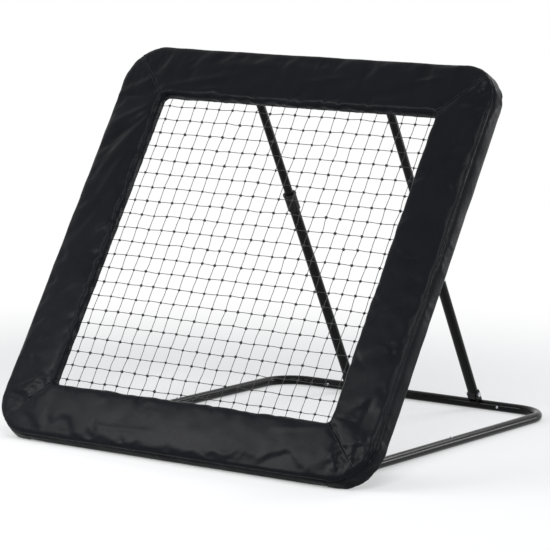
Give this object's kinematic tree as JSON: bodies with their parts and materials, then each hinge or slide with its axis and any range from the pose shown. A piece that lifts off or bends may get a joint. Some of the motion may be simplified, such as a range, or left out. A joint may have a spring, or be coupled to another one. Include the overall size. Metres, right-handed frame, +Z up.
{
  "type": "football rebounder",
  "caption": "Square padded frame with a tight net that leans back on two telescopic struts over a U-shaped tube base, and sends a kicked or thrown ball back.",
  "frame": {"origin": "On the ground, at the middle of the whole object's footprint.", "axes": "+X to the object's own right as seen from the front (the side the ball comes from), +Y back from the padded frame towards the rear tube, +Z up."},
  "size_m": [1.24, 1.268, 1.0669],
  "materials": {
    "coated_fabric": "satin coated fabric with soft folds",
    "foam": "closed-cell foam, matt",
    "net_cord": "knotted synthetic cord, matt",
    "black_enamel": "gloss powder coat",
    "zinc_plate": "bright zinc plate",
    "black_plastic": "fine grained moulding",
    "natural_plastic": "smooth natural nylon"
  },
  "bodies": {
    "base": {"base_side_left": "black_enamel", "base_side_right": "black_enamel", "base_corner_left": "black_enamel", "base_corner_right": "black_enamel", "rear_tube": "black_enamel", "hinge_eyes": "black_plastic", "rear_bracket_left": "black_enamel", "rear_bracket_right": "black_enamel", "foot_bolts": "zinc_plate", "foot_nuts": "zinc_plate", "clip_springs": "zinc_plate"},
    "frame": {"frame_tube_bottom_left": "black_enamel", "frame_tube_top_left": "black_enamel", "frame_tube_top_right": "black_enamel", "frame_tube_bottom_right": "black_enamel", "foam_bottom": "foam", "foam_left": "foam", "foam_top": "foam", "foam_right": "foam", "cover_bottom": "coated_fabric", "cover_left": "coated_fabric", "cover_top": "coated_fabric", "cover_right": "coated_fabric", "net": "net_cord", "net_edge_rope": "net_cord", "elastic_loops": "net_cord", "frame_bolts": "zinc_plate", "frame_nuts": "zinc_plate", "top_bracket_left": "black_enamel", "top_bracket_right": "black_enamel", "top_pivot_bolts": "zinc_plate", "top_pivot_nuts": "zinc_plate", "hinge_bracket_left": "black_enamel", "hinge_bracket_right": "black_enamel", "hinge_bolts": "zinc_plate", "hinge_nuts": "zinc_plate"},
    "strut_lower_left": {"strut_lower_left": "black_enamel", "strut_foot_eye_left": "black_plastic", "collet_left": "natural_plastic", "stop_screw_left": "zinc_plate"},
    "collar_left": {"twist_collar_left": "black_plastic"},
    "strut_upper_left": {"strut_upper_left": "black_enamel", "strut_bush_left": "natural_plastic", "strut_top_eye_left": "black_plastic"},
    "button_side_left": {"snap_button_side_left": "zinc_plate"},
    "button_rear_left": {"snap_button_rear_left": "zinc_plate"},
    "strut_lower_right": {"strut_lower_right": "black_enamel", "strut_foot_eye_right": "black_plastic", "collet_right": "natural_plastic", "stop_screw_right": "zinc_plate"},
    "collar_right": {"twist_collar_right": "black_plastic"},
    "strut_upper_right": {"strut_upper_right": "black_enamel", "strut_bush_right": "natural_plastic", "strut_top_eye_right": "black_plastic"},
    "button_side_right": {"snap_button_side_right": "zinc_plate"},
    "button_rear_right": {"snap_button_rear_right": "zinc_plate"}
  },
  "joints": [
    {"name": "frame_lean", "type": "hinge", "parent": "base", "child": "frame", "pos_m": [0, -0.56274, 0.014], "axis": [1, 0, 0], "range_deg": [-8, 8]},
    {"name": "strut_swing_left", "type": "hinge", "parent": "base", "child": "strut_lower_left", "pos_m": [-0.22118, 0.60185, 0.0451], "axis": [1, 0, 0], "range_deg": [-4, 4]},
    {"name": "strut_extend_left", "type": "slide", "parent": "strut_lower_left", "child": "strut_upper_left", "axis": [0, -0.5035, 0.864], "range_m": [-0.145, 0.145]},
    {"name": "collar_twist_left", "type": "hinge", "parent": "strut_lower_left", "child": "collar_left", "pos_m": [-0.22118, 0.26956, 0.61535], "axis": [0, -0.5035, 0.864], "range_deg": [0, 90]},
    {"name": "button_press_side_left", "type": "slide", "parent": "base", "child": "button_side_left", "axis": [0, 0, -1], "range_m": [0, 0.0042], "stiffness_N_per_m": 1500, "springref_m": -0.002},
    {"name": "button_press_rear_left", "type": "slide", "parent": "base", "child": "button_rear_left", "axis": [0, 1, 0], "range_m": [0, 0.0042], "stiffness_N_per_m": 1500, "springref_m": -0.002},
    {"name": "strut_swing_right", "type": "hinge", "parent": "base", "child": "strut_lower_right", "pos_m": [0.22118, 0.60185, 0.0451], "axis": [1, 0, 0], "range_deg": [-4, 4]},
    {"name": "strut_extend_right", "type": "slide", "parent": "strut_lower_right", "child": "strut_upper_right", "axis": [0, -0.5035, 0.864], "range_m": [-0.145, 0.145]},
    {"name": "collar_twist_right", "type": "hinge", "parent": "strut_lower_right", "child": "collar_right", "pos_m": [0.22118, 0.26956, 0.61535], "axis": [0, -0.5035, 0.864], "range_deg": [0, 90]},
    {"name": "button_press_side_right", "type": "slide", "parent": "base", "child": "button_side_right", "axis": [0, 0, -1], "range_m": [0, 0.0042], "stiffness_N_per_m": 1500, "springref_m": -0.002},
    {"name": "button_press_rear_right", "type": "slide", "parent": "base", "child": "button_rear_right", "axis": [0, 1, 0], "range_m": [0, 0.0042], "stiffness_N_per_m": 1500, "springref_m": -0.002}
  ],
  "couplings": [
    {"joint": "strut_swing_left", "follows": "frame_lean", "ratio": 0.49043},
    {"joint": "strut_extend_left", "follows": "frame_lean", "m_per_rad": 1.0211},
    {"joint": "strut_swing_right", "follows": "frame_lean", "ratio": 0.49043},
    {"joint": "strut_extend_right", "follows": "frame_lean", "m_per_rad": 1.0211}
  ]
}
